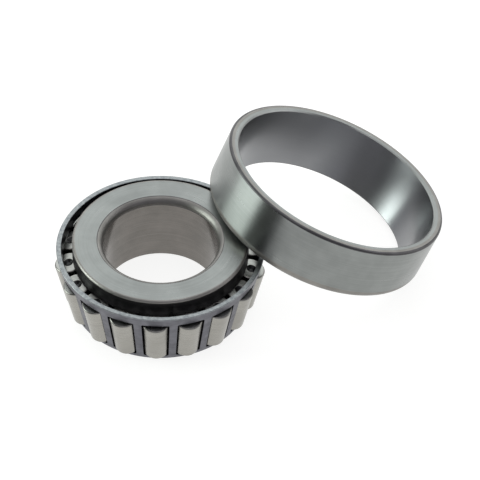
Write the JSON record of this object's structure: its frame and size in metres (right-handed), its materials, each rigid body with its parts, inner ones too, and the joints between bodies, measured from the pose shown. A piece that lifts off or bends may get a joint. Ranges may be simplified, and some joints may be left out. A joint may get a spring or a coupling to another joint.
{
  "type": "tapered roller bearing",
  "caption": "Single-row tapered roller bearing shown apart: inner ring with pressed cage and tapered rollers lying flat, and the plain outer ring leaning on it.",
  "frame": {"origin": "on the bore axis, in the plane of the cone's small-end face, which is the surface the part lies on", "axes": "+Z along the bore, from the cone's small end to its large end (back face); +X towards the side where the cup leans, turned about Z so that one roller is centred on -Y"},
  "size_m": [0.0971, 0.0748, 0.0356],
  "materials": {
    "ring_steel": "hardened bearing steel, ground",
    "roller_steel": "hardened bearing steel, fine ground",
    "cage_steel": "pressed sheet steel, matt phosphated grey"
  },
  "bodies": {
    "cone": {"cone": "ring_steel"},
    "cage": {"cage": "cage_steel"},
    "cup": {"cup": "ring_steel"},
    "roller_01": {"roller_01": "roller_steel"},
    "roller_02": {"roller_02": "roller_steel"},
    "roller_03": {"roller_03": "roller_steel"},
    "roller_04": {"roller_04": "roller_steel"},
    "roller_05": {"roller_05": "roller_steel"},
    "roller_06": {"roller_06": "roller_steel"},
    "roller_07": {"roller_07": "roller_steel"},
    "roller_08": {"roller_08": "roller_steel"},
    "roller_09": {"roller_09": "roller_steel"},
    "roller_10": {"roller_10": "roller_steel"},
    "roller_11": {"roller_11": "roller_steel"},
    "roller_12": {"roller_12": "roller_steel"},
    "roller_13": {"roller_13": "roller_steel"},
    "roller_14": {"roller_14": "roller_steel"},
    "roller_15": {"roller_15": "roller_steel"},
    "roller_16": {"roller_16": "roller_steel"},
    "roller_17": {"roller_17": "roller_steel"},
    "roller_18": {"roller_18": "roller_steel"}
  },
  "joints": [
    {"name": "cage_spin", "type": "hinge", "parent": "cone", "child": "cage", "pos_m": [0, 0, 0.0085], "axis": [0, 0, 1], "continuous": true},
    {"name": "cup_lift", "type": "slide", "parent": "cone", "child": "cup", "axis": [0.3559, 0.142, 0.9237], "range_m": [0, 0.045]},
    {"name": "roller_01_spin", "type": "hinge", "parent": "cage", "child": "roller_01", "pos_m": [0, -0.02198, 0.00802], "axis": [0, -0.1814, 0.9834], "continuous": true},
    {"name": "roller_02_spin", "type": "hinge", "parent": "cage", "child": "roller_02", "pos_m": [0.00752, -0.02066, 0.00802], "axis": [0.062, -0.1704, 0.9834], "continuous": true},
    {"name": "roller_03_spin", "type": "hinge", "parent": "cage", "child": "roller_03", "pos_m": [0.01413, -0.01684, 0.00802], "axis": [0.1166, -0.1389, 0.9834], "continuous": true},
    {"name": "roller_04_spin", "type": "hinge", "parent": "cage", "child": "roller_04", "pos_m": [0.01904, -0.01099, 0.00802], "axis": [0.1571, -0.0907, 0.9834], "continuous": true},
    {"name": "roller_05_spin", "type": "hinge", "parent": "cage", "child": "roller_05", "pos_m": [0.02165, -0.00382, 0.00802], "axis": [0.1786, -0.0315, 0.9834], "continuous": true},
    {"name": "roller_06_spin", "type": "hinge", "parent": "cage", "child": "roller_06", "pos_m": [0.02165, 0.00382, 0.00802], "axis": [0.1786, 0.0315, 0.9834], "continuous": true},
    {"name": "roller_07_spin", "type": "hinge", "parent": "cage", "child": "roller_07", "pos_m": [0.01904, 0.01099, 0.00802], "axis": [0.1571, 0.0907, 0.9834], "continuous": true},
    {"name": "roller_08_spin", "type": "hinge", "parent": "cage", "child": "roller_08", "pos_m": [0.01413, 0.01684, 0.00802], "axis": [0.1166, 0.1389, 0.9834], "continuous": true},
    {"name": "roller_09_spin", "type": "hinge", "parent": "cage", "child": "roller_09", "pos_m": [0.00752, 0.02066, 0.00802], "axis": [0.062, 0.1704, 0.9834], "continuous": true},
    {"name": "roller_10_spin", "type": "hinge", "parent": "cage", "child": "roller_10", "pos_m": [0, 0.02198, 0.00802], "axis": [0, 0.1814, 0.9834], "continuous": true},
    {"name": "roller_11_spin", "type": "hinge", "parent": "cage", "child": "roller_11", "pos_m": [-0.00752, 0.02066, 0.00802], "axis": [-0.062, 0.1704, 0.9834], "continuous": true},
    {"name": "roller_12_spin", "type": "hinge", "parent": "cage", "child": "roller_12", "pos_m": [-0.01413, 0.01684, 0.00802], "axis": [-0.1166, 0.1389, 0.9834], "continuous": true},
    {"name": "roller_13_spin", "type": "hinge", "parent": "cage", "child": "roller_13", "pos_m": [-0.01904, 0.01099, 0.00802], "axis": [-0.1571, 0.0907, 0.9834], "continuous": true},
    {"name": "roller_14_spin", "type": "hinge", "parent": "cage", "child": "roller_14", "pos_m": [-0.02165, 0.00382, 0.00802], "axis": [-0.1786, 0.0315, 0.9834], "continuous": true},
    {"name": "roller_15_spin", "type": "hinge", "parent": "cage", "child": "roller_15", "pos_m": [-0.02165, -0.00382, 0.00802], "axis": [-0.1786, -0.0315, 0.9834], "continuous": true},
    {"name": "roller_16_spin", "type": "hinge", "parent": "cage", "child": "roller_16", "pos_m": [-0.01904, -0.01099, 0.00802], "axis": [-0.1571, -0.0907, 0.9834], "continuous": true},
    {"name": "roller_17_spin", "type": "hinge", "parent": "cage", "child": "roller_17", "pos_m": [-0.01413, -0.01684, 0.00802], "axis": [-0.1166, -0.1389, 0.9834], "continuous": true},
    {"name": "roller_18_spin", "type": "hinge", "parent": "cage", "child": "roller_18", "pos_m": [-0.00752, -0.02066, 0.00802], "axis": [-0.062, -0.1704, 0.9834], "continuous": true}
  ],
  "couplings": [
    {"joint": "roller_01_spin", "follows": "cage_spin", "ratio": 5.7126},
    {"joint": "roller_02_spin", "follows": "cage_spin", "ratio": 5.7126},
    {"joint": "roller_03_spin", "follows": "cage_spin", "ratio": 5.7126},
    {"joint": "roller_04_spin", "follows": "cage_spin", "ratio": 5.7126},
    {"joint": "roller_05_spin", "follows": "cage_spin", "ratio": 5.7126},
    {"joint": "roller_06_spin", "follows": "cage_spin", "ratio": 5.7126},
    {"joint": "roller_07_spin", "follows": "cage_spin", "ratio": 5.7126},
    {"joint": "roller_08_spin", "follows": "cage_spin", "ratio": 5.7126},
    {"joint": "roller_09_spin", "follows": "cage_spin", "ratio": 5.7126},
    {"joint": "roller_10_spin", "follows": "cage_spin", "ratio": 5.7126},
    {"joint": "roller_11_spin", "follows": "cage_spin", "ratio": 5.7126},
    {"joint": "roller_12_spin", "follows": "cage_spin", "ratio": 5.7126},
    {"joint": "roller_13_spin", "follows": "cage_spin", "ratio": 5.7126},
    {"joint": "roller_14_spin", "follows": "cage_spin", "ratio": 5.7126},
    {"joint": "roller_15_spin", "follows": "cage_spin", "ratio": 5.7126},
    {"joint": "roller_16_spin", "follows": "cage_spin", "ratio": 5.7126},
    {"joint": "roller_17_spin", "follows": "cage_spin", "ratio": 5.7126},
    {"joint": "roller_18_spin", "follows": "cage_spin", "ratio": 5.7126}
  ]
}
